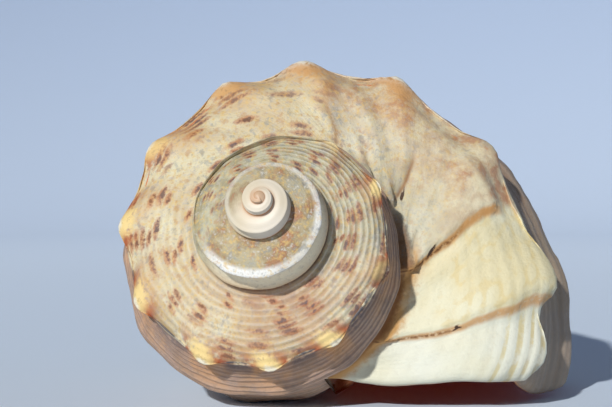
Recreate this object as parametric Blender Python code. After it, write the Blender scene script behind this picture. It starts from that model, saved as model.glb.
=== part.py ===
# Rapa whelk shell, lying on its mouth with the spire towards -Y.
#
# The whole shell is one closed solid. Its outside is a strip that winds round the
# coiling axis: columns of points follow the growth of the shell, and rows cross a whorl
# from its upper suture, over the ramp, the keel and the wall, to its lower suture. Each
# whorl starts on the lower suture of the whorl before, so the strip joins itself. Only
# the last whorl goes on, over the base and the neck, to the umbilicus. The mouth leads
# into a chamber that follows the same coil inwards.
#
# In the shell's own frame the apex is the origin, the axis runs down -Z, and the whorls
# grow clockwise as seen from the apex. At the end the shell is tilted to the pose in
# which it rests on the bulge of its body whorl, its outer lip and its canal.

import math

import bpy
import numpy as np

MM = 0.001

# Growth of the coil
KEEL_RADIUS = 42.0 * MM          # from the axis to the keel, at the lip before it flares
WHORL_GROWTH = 2.160             # each whorl is this much wider than the one before
WHORLS = 3.8                     # counted back from the lip; inside that is the apex cap
COLUMNS_PER_WHORL = 60
SUTURE_LEAD = 54.0               # degrees the growth lines lead at the suture
LIP_END = -72.0                  # polar angle where the lip meets the suture, in degrees
APEX_DEPTH = 0.45                # of the cap, in keel radii of the first column

# Section of a whorl, in keel radii: distance from the axis, depth below the apex,
# degrees by which the growth line lags there, and how strongly the distance and the
# depth grow round the whorl (1 is true coiling, 0 is a plain turned shape).
LOWER_SUTURE = (1.020, 1.300, SUTURE_LEAD, 1.00, 1.00)
SECTION = [
    (LOWER_SUTURE[0] / WHORL_GROWTH, LOWER_SUTURE[1] / WHORL_GROWTH, 0.0, 1.00, 1.00),
    (0.535, 0.650, 13.0, 1.00, 1.00),  # channel along the suture
    (0.735, 0.680, 33.5, 1.00, 1.00),  # ramp
    (0.885, 0.730, 43.5, 1.00, 1.00),
    (1.000, 0.780, 48.0, 1.00, 1.00),  # keel
    (0.950, 0.900, 46.5, 1.00, 1.00),  # hollow below the keel
    (0.990, 1.050, 46.5, 1.00, 1.00),
    (1.045, 1.180, 49.5, 1.00, 1.00),  # second knobbed cord, the widest place
    LOWER_SUTURE,
    (1.012, 1.510, 56.0, 1.00, 0.92),  # third cord
    (0.810, 1.800, 56.0, 0.95, 0.74),  # base
    (0.600, 2.000, 53.0, 0.90, 0.52),
    (0.425, 2.140, 48.0, 0.90, 0.38),  # neck
    (0.330, 2.310, 40.0, 0.85, 0.30),  # tip of the canal
    (0.265, 2.350, 36.0, 0.80, 0.30),  # crest of the fasciole
    (0.140, 2.290, 31.0, 0.60, 0.30),  # umbilicus
    (0.050, 2.220, 25.0, 0.60, 0.30),
]
KEEL, SECOND_CORD, SUTURE, THIRD_CORD, BASE, TIP = 4, 7, 8, 9, 10, 13
ROWS_PER_SPAN = [1, 2, 2, 2, 1, 1, 1, 1, 2, 1, 1, 1, 1, 1, 1, 1]
UMBILICUS_DEPTH = 1.93           # depth of its bottom below the apex, in keel radii

# Lip and chamber
LIP_FLARE = 0.075                # how far the lip spreads beyond the true coil
FLARE_WHORLS = 0.20
FLARE_RADII = (0.45, 0.85)       # no flare nearer the axis, full flare farther out
FLARE_ABOVE = 0.75               # share of the flare above the keel
WALL = 2.4 * MM
CHAMBER_WHORLS = 0.50
CHAMBER_STEP = 2                 # columns from one ring of the chamber to the next
CHAMBER_END = 0.6                # size of the last ring but one
# The chamber's inner side, from the canal up the columella to the suture, as SECTION
INNER_SIDE = [
    (0.240, 2.220, 34.0, 0.50, 0.32),
    (0.120, 2.040, 20.0, 0.40, 0.32),  # floor of the canal
    (0.120, 1.870, 4.0, 0.40, 0.34),
    (0.160, 1.620, -6.0, 0.50, 0.46),
    (0.200, 1.340, -6.0, 0.70, 0.62),
    (0.260, 1.100, -3.0, 0.90, 0.82),
    (0.380, 0.880, 0.0, 1.00, 1.00),   # callus over the whorl before
    (0.510, 0.735, 2.0, 1.00, 1.00),
]

# Knobs on the keel: polar angles in degrees, from the lip inwards, then evenly
KNOB_ANGLES = [-20, -3, 30, 61, 89, 114, 146, 176, 207, 243, 271, 300, 339, 382]
INNER_KNOB_STEP = 36.0
KNOB_HEIGHT = 0.075              # in keel radii
KNOB_GAP = 0.070                 # how far the keel sinks between strong knobs
KNOB_WIDTH = 8.0                 # degrees of growth
STRONG_KNOBS = 1.12              # whorls back from the lip, as far as they are strong
WEAK_KNOBS = 1.35                # from here inwards they are low waves
WAVE_SHARE = 0.2
KNOBS_BEGIN = 2.8
COVERED_KEEL = (1.43, 0.17, 0.10)  # whorls back, half width, depth: the last whorl climbs over
SHOULDER = (1.2, 0.16)           # rows above the keel, and share, of the rib a knob sends up
CORDS = [(SECOND_CORD, 0.022), (THIRD_CORD, 0.022), (BASE + 0.3, 0.022)]
CORD_BETWEEN = 0.3               # share of a cord's height between its knobs
KEEL_ROWS = 0.85                 # half width, in places along SECTION
CORD_ROWS = 0.35

# Ledges, the edges of older lips: whorls back from the lip at the suture, and height
LEDGES = [(0.278, 0.010), (0.104, 0.030), (0.058, 0.026)]
LEDGE_ADVANCE = 0.033            # whorls that a ledge runs forward from suture to keel
LEDGE_SLOPE = 0.050              # whorls over which the older side rises to its edge
LEDGE_FALL = 0.012               # whorls over which it drops to the newer side
LEDGE_ROWS = (0.6, 4.4)          # it fades in and out at these places

RECURVE = 10.0 * MM              # how far the tip of the canal bends to the back
RECURVE_START = 1.30             # in keel radii below the apex

# Resting pose
TILT = 21.0                      # degrees the apex is raised
CONTACT = 0.40 * MM              # worn flat where the shell touches the ground

SHELL_COLOUR = (0.72, 0.58, 0.42, 1.0)

COLUMN_ANGLE = 360.0 / COLUMNS_PER_WHORL
LEAD_COLUMNS = round(SUTURE_LEAD / COLUMN_ANGLE)
LAST_COLUMN = round(WHORLS * COLUMNS_PER_WHORL)
BODY_START = LAST_COLUMN - COLUMNS_PER_WHORL + LEAD_COLUMNS


def smooth_step(value):
    value = np.clip(value, 0.0, 1.0)
    return value * value * (3.0 - 2.0 * value)


def along(points, place):
    """The point at a place along a list of control points, on a smooth curve."""
    points = np.asarray(points, float)
    span = min(max(int(math.floor(place)), 0), len(points) - 2)
    part = place - span
    start, end = points[span], points[span + 1]
    before = points[span - 1] if span > 0 else 2.0 * start - end
    after = points[span + 2] if span + 2 < len(points) else 2.0 * end - start
    return 0.5 * (2.0 * start + (end - before) * part
                  + (2.0 * before - 5.0 * start + 4.0 * end - after) * part ** 2
                  + (3.0 * start - before - 3.0 * end + after) * part ** 3)


def outward(points, place):
    """Unit normal of a section curve, as its share away from the axis and upwards."""
    step = 0.05
    ahead = along(points, min(place + step, len(points) - 1))
    behind = along(points, max(place - step, 0))
    run, drop = (ahead - behind)[:2]
    length = math.hypot(run, drop)
    return drop / length, run / length


def section_rows():
    """Places along SECTION of the rows of points, and the row of the lower suture."""
    places = [0.0]
    for span, count in enumerate(ROWS_PER_SPAN):
        places += [span + (step + 1) / count for step in range(count)]
    return places, places.index(float(SUTURE))


def knob_angles():
    angles = list(KNOB_ANGLES)
    while angles[-1] < 360.0 * WHORLS:
        angles.append(angles[-1] + INNER_KNOB_STEP)
    return np.array(angles, float)


def bump(distance, width):
    return np.exp(-(distance / width) ** 2)


def knob_strength(whorls_back):
    """1 on the last whorl, low waves on the two before, nothing near the apex."""
    fade = (WEAK_KNOBS - whorls_back) / (WEAK_KNOBS - STRONG_KNOBS)
    waves = WAVE_SHARE * smooth_step(KNOBS_BEGIN - whorls_back)
    return waves + (1.0 - WAVE_SHARE) * smooth_step(fade)


def ledges(whorls_back, place):
    """Height of the older lip edges: a slow rise to the edge, then a short drop."""
    across = smooth_step(place / LEDGE_ROWS[0]) * (1.0 - smooth_step(place - LEDGE_ROWS[1]))
    height = 0.0
    for start, rise in LEDGES:
        line = start - LEDGE_ADVANCE * min(place / KEEL, 1.0)
        older = whorls_back - line
        slope = math.exp(-max(older, 0.0) / LEDGE_SLOPE)
        height += rise * across * slope * smooth_step(older / LEDGE_FALL + 1.0)
    return height


def relief(column, place):
    """Height of knobs, ribs, cords and ledges above the plain section, in keel radii."""
    angle = polar_angle(column, SECTION[KEEL][2])
    nearest = np.abs(knob_angles() - angle).min()
    whorls_back = (LAST_COLUMN - column) / COLUMNS_PER_WHORL
    strength = knob_strength(whorls_back)
    knob = strength * bump(nearest, KNOB_WIDTH)
    covered = bump(whorls_back - COVERED_KEEL[0], COVERED_KEEL[1])
    height = (KNOB_HEIGHT * knob - KNOB_GAP * strength) * bump(place - KEEL, KEEL_ROWS)
    height -= COVERED_KEEL[2] * covered * bump(place - KEEL, 2.0 * KEEL_ROWS)
    height += KNOB_HEIGHT * SHOULDER[1] * knob * bump(place - KEEL + SHOULDER[0], KEEL_ROWS)
    for cord, rise in CORDS:
        height += rise * (CORD_BETWEEN + knob) * bump(place - cord, CORD_ROWS)
    return height + ledges(whorls_back, place)


def polar_angle(column, lag):
    return LIP_END + (LAST_COLUMN - column) * COLUMN_ANGLE + lag


def shell_point(column, place, points=SECTION, height=0.0):
    """A point of the shell in its own frame, before it is bent and laid down."""
    radius, depth, lag, wider, deeper = along(points, place)
    if height:
        out, up = outward(points, place)
        radius += out * height
        depth -= up * height
    whorls_back = (LAST_COLUMN - column) / COLUMNS_PER_WHORL
    lag_whorls = (lag - SECTION[KEEL][2]) / 360.0
    growth = WHORL_GROWTH ** -(whorls_back + lag_whorls)
    spread = smooth_step((radius - FLARE_RADII[0]) / (FLARE_RADII[1] - FLARE_RADII[0]))
    spread *= FLARE_ABOVE + (1.0 - FLARE_ABOVE) * smooth_step(depth - SECTION[KEEL][1])
    flare = LIP_FLARE * smooth_step(1.0 - whorls_back / FLARE_WHORLS) * spread
    angle = math.radians(polar_angle(column, lag))
    across = KEEL_RADIUS * radius * growth ** wider * (1.0 + flare)
    below = KEEL_RADIUS * depth * growth ** deeper
    return across * math.cos(angle), across * math.sin(angle), -below


class Mesh:
    """Points and faces of the shell, with each point made once."""

    def __init__(self):
        self.points = []
        self.faces = []
        self.known = {}
        self.rows, self.suture_row = section_rows()
        self.end_row = len(self.rows) - 1

    def add(self, point):
        self.points.append(point)
        return len(self.points) - 1

    def outside(self, column, row):
        """The point of the outside at a column and row; row 0 is the suture."""
        behind = column - COLUMNS_PER_WHORL + LEAD_COLUMNS
        if row == 0 and behind >= 0:
            column, row = behind, self.suture_row
        if (column, row) not in self.known:
            place = self.rows[row]
            height = relief(column, place)
            self.known[column, row] = self.add(shell_point(column, place, height=height))
        return self.known[column, row]

    def band(self, first, second, closed=False):
        """Quads between two lists of points."""
        count = len(first)
        for here in range(count if closed else count - 1):
            there = (here + 1) % count
            corners = [first[here], second[here], second[there], first[there]]
            face = [c for i, c in enumerate(corners) if c != corners[i - 1]]
            if len(face) > 2:
                self.faces.append(face)

    def fan(self, loop, centre):
        for here, there in zip(loop, loop[1:] + loop[:1]):
            self.faces.append([here, there, centre])


def make_outside(mesh):
    for column in range(LAST_COLUMN):
        last_row = mesh.end_row if column >= BODY_START else mesh.suture_row
        rows = range(last_row + 1)
        mesh.band([mesh.outside(column, row) for row in rows],
                  [mesh.outside(column + 1, row) for row in rows])


def make_apex(mesh):
    """A cap over the first whorl, which starts the strip."""
    first_whorl = COLUMNS_PER_WHORL - LEAD_COLUMNS
    loop = [mesh.outside(0, row) for row in range(mesh.suture_row, 0, -1)]
    loop += [mesh.outside(column, 0) for column in range(first_whorl)]
    size = KEEL_RADIUS * WHORL_GROWTH ** -WHORLS
    mesh.fan(loop[::-1], mesh.add((0.0, 0.0, -APEX_DEPTH * size)))


def make_umbilicus(mesh):
    bottom = mesh.add((0.0, 0.0, -UMBILICUS_DEPTH * KEEL_RADIUS))
    edge = [mesh.outside(column, mesh.end_row) for column in range(BODY_START, LAST_COLUMN + 1)]
    for here, there in zip(edge, edge[1:]):
        mesh.faces.append([here, there, bottom])
    return bottom


def mouth_edge(mesh, bottom):
    """The edge of the outside round the mouth, and the rows of it on the outer wall."""
    outer = [mesh.outside(LAST_COLUMN, row) for row in range(mesh.end_row + 1)]
    inner = [mesh.outside(BODY_START, row)
             for row in range(mesh.end_row, mesh.suture_row, -1)]
    outer_rows = sum(1 for place in mesh.rows if 0 < place <= TIP)
    return outer + [bottom] + inner, outer_rows


def chamber_ring(mesh, column, count, outer_rows):
    """Points round the chamber at a column, in step with the edge of the mouth."""
    ring = []
    corner = len(INNER_SIDE) - 1
    for index in range(count):
        if index == 0:
            ring.append(shell_point(column, corner, INNER_SIDE))
        elif index <= outer_rows:
            thickness = -WALL / KEEL_RADIUS
            ring.append(shell_point(column, mesh.rows[index], height=thickness))
        else:
            place = corner * (index - outer_rows - 1) / (count - outer_rows - 1)
            ring.append(shell_point(column, place, INNER_SIDE))
    return ring


def make_chamber(mesh, edge, outer_rows):
    last = LAST_COLUMN - round(CHAMBER_WHORLS * COLUMNS_PER_WHORL)
    before = edge
    for column in range(LAST_COLUMN, last, -CHAMBER_STEP):
        ring = [mesh.add(p) for p in chamber_ring(mesh, column, len(edge), outer_rows)]
        mesh.band(before, ring, closed=True)
        before = ring
    end = np.array(chamber_ring(mesh, last, len(edge), outer_rows))
    middle = end.mean(axis=0)
    ring = [mesh.add(tuple(middle + CHAMBER_END * (p - middle))) for p in end]
    mesh.band(before, ring, closed=True)
    mesh.fan(ring[::-1], mesh.add(tuple(middle)))


def bend_canal(points):
    """Bend the tip of the canal to the back of the shell."""
    length = max(place[1] for place in SECTION) - RECURVE_START
    share = np.clip((-points[:, 2] / KEEL_RADIUS - RECURVE_START) / length, 0.0, None)
    points[:, 1] += RECURVE * share ** 2
    return points


def lay_down(points):
    """Rest the shell on its mouth, wear its contacts flat, and centre it."""
    c, s = math.cos(math.radians(90.0 - TILT)), math.sin(math.radians(90.0 - TILT))
    lying = np.array([(1.0, 0.0, 0.0), (0.0, c, -s), (0.0, s, c)])
    points = points @ lying.T
    points[:, 2] -= points[:, 2].min() + CONTACT
    points[:, 2] = np.maximum(points[:, 2], 0.0)
    middle = (points.min(axis=0) + points.max(axis=0)) / 2.0
    points[:, :2] -= middle[:2]
    return points


def shell_material():
    material = bpy.data.materials.new("whelk_shell")
    material.use_nodes = True
    finish = material.node_tree.nodes["Principled BSDF"]
    finish.inputs["Base Color"].default_value = SHELL_COLOUR
    finish.inputs["Roughness"].default_value = 0.6
    finish.inputs["Metallic"].default_value = 0.0
    return material


def build_shell():
    mesh = Mesh()
    make_outside(mesh)
    make_apex(mesh)
    bottom = make_umbilicus(mesh)
    edge, outer_rows = mouth_edge(mesh, bottom)
    make_chamber(mesh, edge, outer_rows)
    points = lay_down(bend_canal(np.array(mesh.points)))
    data = bpy.data.meshes.new("shell")
    data.from_pydata([tuple(p) for p in points], [], mesh.faces)
    data.validate()
    data.shade_smooth()
    shell = bpy.data.objects.new("shell", data)
    shell.data.materials.append(shell_material())
    return shell


def main():
    for leftover in list(bpy.data.objects):
        bpy.data.objects.remove(leftover, do_unlink=True)
    collection = bpy.data.collections.new("rapa_whelk_shell")
    bpy.context.scene.collection.children.link(collection)
    collection.objects.link(build_shell())


main()
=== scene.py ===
# %% [markdown]
# A rapa whelk shell, lying on its mouth with the spire towards the camera.
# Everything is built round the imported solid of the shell, which is loaded first. That
# solid gives the size and the place; the dressed shell made here stands in for it.

# %% Load the frame
import math

import bpy
import numpy as np
from mathutils import Matrix, Vector


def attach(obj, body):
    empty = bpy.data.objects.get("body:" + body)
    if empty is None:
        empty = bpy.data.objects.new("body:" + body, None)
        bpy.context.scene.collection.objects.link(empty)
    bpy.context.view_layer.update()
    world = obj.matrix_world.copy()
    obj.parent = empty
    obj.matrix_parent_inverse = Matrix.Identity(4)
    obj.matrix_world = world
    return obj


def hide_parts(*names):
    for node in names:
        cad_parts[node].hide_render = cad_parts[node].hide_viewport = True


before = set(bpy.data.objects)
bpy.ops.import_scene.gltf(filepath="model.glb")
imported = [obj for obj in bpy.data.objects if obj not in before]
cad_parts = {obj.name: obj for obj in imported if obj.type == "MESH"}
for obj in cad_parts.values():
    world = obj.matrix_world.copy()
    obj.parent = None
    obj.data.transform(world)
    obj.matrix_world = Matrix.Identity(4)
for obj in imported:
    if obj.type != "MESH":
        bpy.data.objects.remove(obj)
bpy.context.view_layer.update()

# %% [markdown]
# A whelk grows by adding shell at the lip, which turns round an axis, sinks along it and
# gets larger by the same factor each turn. One could model half a turn and array it, but
# each whorl is welded to the one before. So the faces are laid out first as a flat strip
# whose points know how many whorls they lie behind the lip, and their place along the
# section. Geometry Nodes then winds the strip up.

# %% The section of a whorl
MM = 0.001
KEEL_RADIUS = 42.0 * MM
WHORL_GROWTH = 2.160
SUTURE_LEAD = 54.0               # degrees the growth lines lead at the suture
# Distance from the axis and depth below the apex in keel radii, degrees of lag of the
# growth line, and how strongly the distance and the depth grow round the whorl
LOWER_SUTURE = (1.020, 1.300, SUTURE_LEAD, 1.00, 1.00)
SECTION = [
    (LOWER_SUTURE[0] / WHORL_GROWTH, LOWER_SUTURE[1] / WHORL_GROWTH, 0.0, 1.00, 1.00),
    (0.535, 0.650, 13.0, 1.00, 1.00),  # channel along the suture
    (0.735, 0.680, 33.5, 1.00, 1.00),  # ramp
    (0.885, 0.730, 43.5, 1.00, 1.00),
    (1.000, 0.780, 48.0, 1.00, 1.00),  # keel
    (0.950, 0.900, 46.5, 1.00, 1.00),  # hollow below the keel
    (0.990, 1.050, 46.5, 1.00, 1.00),
    (1.045, 1.180, 49.5, 1.00, 1.00),  # second knobbed cord
    LOWER_SUTURE,
    (1.012, 1.510, 56.0, 1.00, 0.92),  # third cord
    (0.810, 1.800, 56.0, 0.95, 0.74),  # base
    (0.600, 2.000, 53.0, 0.90, 0.52),
    (0.425, 2.140, 48.0, 0.90, 0.38),  # neck
    (0.330, 2.310, 40.0, 0.85, 0.30),  # tip of the canal
    (0.265, 2.350, 36.0, 0.80, 0.30),  # crest of the fasciole
    (0.140, 2.290, 31.0, 0.60, 0.30),  # umbilicus
    (0.050, 2.220, 25.0, 0.60, 0.30),
]
KEEL, SECOND_CORD, SUTURE, THIRD_CORD, BASE, TIP, END = 4, 7, 8, 9, 10, 13, 16
# The mouth's inner side, from the canal up the columella to the suture
INNER_SIDE = [
    (0.240, 2.220, 34.0, 0.50, 0.32),
    (0.120, 2.040, 20.0, 0.40, 0.32),  # floor of the canal
    (0.120, 1.870, 4.0, 0.40, 0.34),
    (0.160, 1.620, -6.0, 0.50, 0.46),
    (0.200, 1.340, -6.0, 0.70, 0.62),
    (0.260, 1.100, -3.0, 0.90, 0.82),
    (0.380, 0.880, 0.0, 1.00, 1.00),   # callus over the whorl before
    (0.510, 0.735, 2.0, 1.00, 1.00),
]


def along(points, places):
    """Points at places along a list of control points, on a smooth curve."""
    points = np.asarray(points, float)
    ends = [2 * points[0] - points[1], *points, 2 * points[-1] - points[-2]]
    padded = np.array(ends)
    places = np.atleast_1d(places).astype(float)
    span = np.clip(places.astype(int), 0, len(points) - 2)
    part = (places - span)[:, None]
    before, start, end, after = (padded[span + i] for i in range(4))
    return 0.5 * (2 * start + (end - before) * part
                  + (2 * before - 5 * start + 4 * end - after) * part ** 2
                  + (3 * start - before - 3 * end + after) * part ** 3)


def outward(points, places):
    """Unit normals of a section curve: their share away from the axis, and upwards."""
    step = 0.02
    places = np.atleast_1d(places).astype(float)
    ahead = along(points, np.minimum(places + step, len(points) - 1))
    behind = along(points, np.maximum(places - step, 0))
    run, drop = (ahead - behind)[:, :2].T
    length = np.hypot(run, drop)
    return drop / length, run / length


print("section points:", len(SECTION), "outside,", len(INNER_SIDE), "inside")

# %% [markdown]
# The rows of the strip cross the section. They lie closer together on the whorls, where
# the spiral cords are a couple of millimetres apart, than on the base, and their number
# follows from the length of each stretch of the section.

# %% Rows across the section
CORD_PITCH = 0.048               # of the spiral cords, in keel radii
ROW_STEP = CORD_PITCH / 3.7
BASE_ROW_STEP = 2.0 * ROW_STEP


def section_rows():
    """Places of the rows, and how far each is along the section, in keel radii."""
    fine = np.linspace(0, END, 100 * END + 1)
    steps = np.hypot(*np.diff(along(SECTION, fine)[:, :2], axis=0).T)
    length = np.concatenate([[0.0], np.cumsum(steps)])
    places = [0.0]
    for span in range(END):
        step = ROW_STEP if span < SUTURE else BASE_ROW_STEP
        stretch = length[100 * (span + 1)] - length[100 * span]
        count = max(3, round(stretch / step))
        places += [span + (i + 1) / count for i in range(count)]
    places = np.array(places)
    return places, np.interp(places, fine, length)


ROWS, ROW_LENGTHS = section_rows()
SUTURE_ROW = int(np.argmin(abs(ROWS - SUTURE)))
END_ROW = len(ROWS) - 1
print("rows:", len(ROWS), "of them on a spire whorl:", SUTURE_ROW + 1)

# %% [markdown]
# The strip is laid out column by column. Row 0 of a column is the lower suture of the
# whorl before, so the whorls need no welding afterwards. Only the last whorl has a base.
# Each corner of a face also gets its own coil coordinates, whorls behind the lip and
# place on the section, because at the suture one point belongs to two whorls.

# %% Lay out the strip
COLUMNS = 180                    # a whorl
WHORLS = 4.9                     # counted back from the lip
LEAD = round(COLUMNS * SUTURE_LEAD / 360)
LAST = round(COLUMNS * WHORLS)
BODY_START = LAST - COLUMNS + LEAD
UMBILICUS_DEPTH = 1.93
APEX_DEPTH = 0.45


class Strip:
    """Points with what the winding needs to know of each, and faces between them."""

    NAMES = ["whorls_back", "place", "radius", "depth", "lag", "wider", "deeper",
             "out", "up", "sunk", "inside", "girth", "knobbed"]

    def __init__(self):
        self.points = []
        self.faces = []
        self.corners = []

    def add(self, whorls_back, place, section, normal, sunk=0.0, inside=0.0, girth=0.0,
            knobbed=1.0):
        self.points.append((whorls_back, place, *section, *normal, sunk, inside, girth,
                            knobbed))
        return len(self.points) - 1

    def quad(self, ids, coil):
        kept = [i for i in range(len(ids)) if ids[i] != ids[i - 1]]
        if len(kept) > 2:
            self.faces.append([ids[i] for i in kept])
            self.corners.append([coil[i] for i in kept])

    def band(self, first, second, coil_first, coil_second, closed=False):
        for i in range(len(first) if closed else len(first) - 1):
            j = (i + 1) % len(first)
            self.quad([first[i], second[i], second[j], first[j]],
                      [coil_first[i], coil_second[i], coil_second[j], coil_first[j]])


def lay_outside(strip):
    """Every point and face of the outside; returns the grid of point numbers."""
    sections = along(SECTION, ROWS)
    normals = np.array(outward(SECTION, ROWS)).T
    grid = np.full((LAST + 1, END_ROW + 1), -1)
    for column in range(LAST + 1):
        back = (LAST - column) / COLUMNS
        last_row = END_ROW if column >= BODY_START else SUTURE_ROW
        for row in range(last_row + 1):
            behind = column - COLUMNS + LEAD
            if row == 0 and behind >= 0:
                grid[column, 0] = grid[behind, SUTURE_ROW]
            else:
                grid[column, row] = strip.add(back, ROWS[row], sections[row], normals[row],
                                              girth=ROW_LENGTHS[row])
    for column in range(LAST):
        rows = range((END_ROW if column >= BODY_START else SUTURE_ROW) + 1)
        back = (LAST - column) / COLUMNS
        strip.band(grid[column, rows], grid[column + 1, rows],
                   [(back, ROWS[r], ROW_LENGTHS[r]) for r in rows],
                   [(back - 1 / COLUMNS, ROWS[r], ROW_LENGTHS[r]) for r in rows])
    return grid


def close_ends(strip, grid):
    """A cap over the apex and the bottom of the umbilicus, whose point is returned."""
    keel_lag = SECTION[KEEL][2]
    loop = [grid[0, row] for row in range(SUTURE_ROW, 0, -1)]
    loop += [grid[column, 0] for column in range(COLUMNS - LEAD)]
    apex = strip.add(WHORLS, 0, (0, APEX_DEPTH, keel_lag, 1, 1), (0, 1))
    for here, there in zip(loop, loop[1:] + loop[:1]):
        strip.quad([there, here, apex], [(WHORLS, 2, 0)] * 3)
    bottom = strip.add(0, END, (0, UMBILICUS_DEPTH, keel_lag, 1, 1), (0, -1),
                       girth=ROW_LENGTHS[-1])
    edge = grid[BODY_START:, END_ROW]
    for here, there in zip(edge, edge[1:]):
        strip.quad([here, there, bottom], [(0.0, END, ROW_LENGTHS[-1])] * 3)
    return bottom


strip = Strip()
grid = lay_outside(strip)
umbilicus_bottom = close_ends(strip, grid)
print("outside:", len(strip.points), "points,", len(strip.faces), "faces")

# %% [markdown]
# The mouth's edge is one closed loop: down the outer lip, round the canal, and back up
# the inner lip on the base. A few narrow rings turn the outer lip round to the inside,
# because a real lip is a rounded edge about two millimetres thick and not a sharp one.
# From there, rings follow the same coil inwards and line the chamber.

# %% Line the mouth and the chamber
WALL = 2.4 * MM
CHAMBER_WHORLS = 0.62
CHAMBER_STEP = 4                 # columns
CHAMBER_END = (0.6, 1.1, 30.0, 1.0, 1.0)  # the section point where the lining closes
# Columns ahead of the lip, and the share of the wall's thickness
LIP_ROUND = [(0.55, 0.10), (0.90, 0.34), (0.90, 0.66), (0.50, 0.92)]
PLACE, GIRTH = Strip.NAMES.index("place"), Strip.NAMES.index("girth")


def chamber_ring(strip, back, thickness, count, outer_rows, inside):
    """Add a ring of the chamber, in step with the mouth's edge; returns its points."""
    corner = len(INNER_SIDE) - 1
    ring = []
    inner = np.linspace(0, corner, count - outer_rows - 1)
    sections = along(INNER_SIDE, inner)
    for index in range(count):
        if index == 0:
            here = (back, 0.0, INNER_SIDE[corner], (0, 1), 0.0, inside, 0.0, 0.0)
        elif index <= outer_rows:
            place = ROWS[index]
            normal = np.array(outward(SECTION, place)).T[0]
            here = (back, place, along(SECTION, place)[0], normal, thickness, inside,
                    ROW_LENGTHS[index], 1.0)
        else:
            section = sections[index - outer_rows - 1]
            here = (back, END, section, (0, 1), 0.0, inside, ROW_LENGTHS[-1], 0.0)
        if inside or 0 < index <= outer_rows:
            ring.append(strip.add(*here))
    return ring


def line_mouth(strip, grid, bottom):
    edge = [*grid[LAST, :END_ROW + 1], bottom, *grid[BODY_START, END_ROW:SUTURE_ROW:-1]]
    outer_rows = int(sum((ROWS > 0) & (ROWS <= TIP)))
    count = len(edge)
    before = edge
    coil = [(0.0, p[PLACE], p[GIRTH]) for p in (strip.points[i] for i in edge)]
    for ahead, depth in LIP_ROUND:
        turned = chamber_ring(strip, -ahead / COLUMNS, depth * WALL / KEEL_RADIUS, count,
                              outer_rows, inside=0.0)
        ids = [before[0], *turned, *before[outer_rows + 1:]]
        strip.band(before, ids, coil, coil, closed=True)
        before = ids
    last = round(CHAMBER_WHORLS * COLUMNS)
    for column in range(0, last + 1, CHAMBER_STEP):
        ids = chamber_ring(strip, column / COLUMNS, WALL / KEEL_RADIUS, count, outer_rows,
                           inside=1.0)
        strip.band(before, ids, coil, coil, closed=True)
        before = ids
    return before


chamber_end = line_mouth(strip, grid, umbilicus_bottom)
end_point = strip.add(CHAMBER_WHORLS, KEEL, CHAMBER_END, (0, 1), inside=1.0)
for here, there in zip(chamber_end, chamber_end[1:] + chamber_end[:1]):
    strip.quad([here, end_point, there], [(CHAMBER_WHORLS, KEEL, 0)] * 3)
print("with the chamber:", len(strip.points), "points,", len(strip.faces), "faces")

# %% [markdown]
# Knobs sit on the keel about every thirty degrees, but a real whelk makes them when it
# pauses, so through the last whorl their angles were read off the photograph. Further in
# they are spaced evenly. Each point stores its distance to the nearest knob, and the
# nodes and the material both use it.

# %% Give every point its numbers
LIP_END = -72.0                  # degrees round the axis
KNOB_ANGLES = [-20, -3, 30, 61, 89, 114, 146, 176, 207, 243, 271, 300, 339, 382]
INNER_KNOB_STEP = 36


def knob_distance(whorls_back):
    """Degrees of growth to the nearest knob."""
    angles = list(KNOB_ANGLES)
    while angles[-1] < 360 * WHORLS:
        angles.append(angles[-1] + INNER_KNOB_STEP)
    here = LIP_END + 360 * whorls_back + SECTION[KEEL][2]
    return np.abs(here[:, None] - np.array(angles)[None, :]).min(axis=1)


def strip_mesh(strip):
    table = np.array([[float(x) for x in point] for point in strip.points])
    mesh = bpy.data.meshes.new("whelk_strip")
    flat = [(-p[0], p[1] * 0.1, 0.0) for p in table]
    mesh.from_pydata(flat, [], [[int(i) for i in f] for f in strip.faces])
    columns = {name: table[:, i] for i, name in enumerate(Strip.NAMES)}
    columns["knob"] = knob_distance(columns["whorls_back"])
    for name, values in columns.items():
        layer = mesh.attributes.new(name, "FLOAT", "POINT")
        layer.data.foreach_set("value", values.astype(np.float32))
    corners = np.array([c for face in strip.corners for c in face], float)
    for name, second in (("coil", 1), ("cords", 2)):
        layer = mesh.uv_layers.new(name=name)
        layer.data.foreach_set("uv", corners[:, [0, second]].astype(np.float32).ravel())
    return mesh


shell = bpy.data.objects.new("rapa_whelk", strip_mesh(strip))
bpy.context.scene.collection.objects.link(shell)
print("strip:", len(shell.data.vertices), "vertices")

# %% [markdown]
# A formula in a node tree takes dozens of Math nodes. A small class lets a script write
# it as a formula: every plus or times adds a node and passes its output on. It serves
# the geometry tree and the materials alike, because both know the Math node.

# %% Write formulas as nodes


class Flow:
    """A value that flows through a node tree; arithmetic on it adds Math nodes."""

    def __init__(self, tree, socket):
        self.tree, self.socket = tree, socket

    def math(self, operation, *terms):
        return node(self.tree, "ShaderNodeMath", dict(enumerate(terms)), operation=operation)

    def of(self, operation, *others):
        return self.math(operation, self, *others)


def operator(operation, swapped=False):
    """A method for one sign of arithmetic."""
    def method(self, other):
        return self.math(operation, *((other, self) if swapped else (self, other)))
    return method


SIGNS = {"add": "ADD", "sub": "SUBTRACT", "mul": "MULTIPLY", "truediv": "DIVIDE", "pow": "POWER"}
for sign, operation in SIGNS.items():
    setattr(Flow, f"__{sign}__", operator(operation))
    setattr(Flow, f"__r{sign}__", operator(operation, swapped=True))


def feed(tree, socket, term):
    """Link a flow, or set a plain value."""
    if isinstance(term, Flow):
        tree.links.new(term.socket, socket)
    else:
        socket.default_value = term


def node(tree, kind, inputs, output=0, **settings):
    """Add a node with its settings, feed its inputs, and return one of its outputs."""
    added = tree.nodes.new(kind)
    for name, value in settings.items():
        setattr(added, name, value)
    for name, term in inputs.items():
        feed(tree, added.inputs[name], term)
    return Flow(tree, added.outputs[output])


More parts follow.
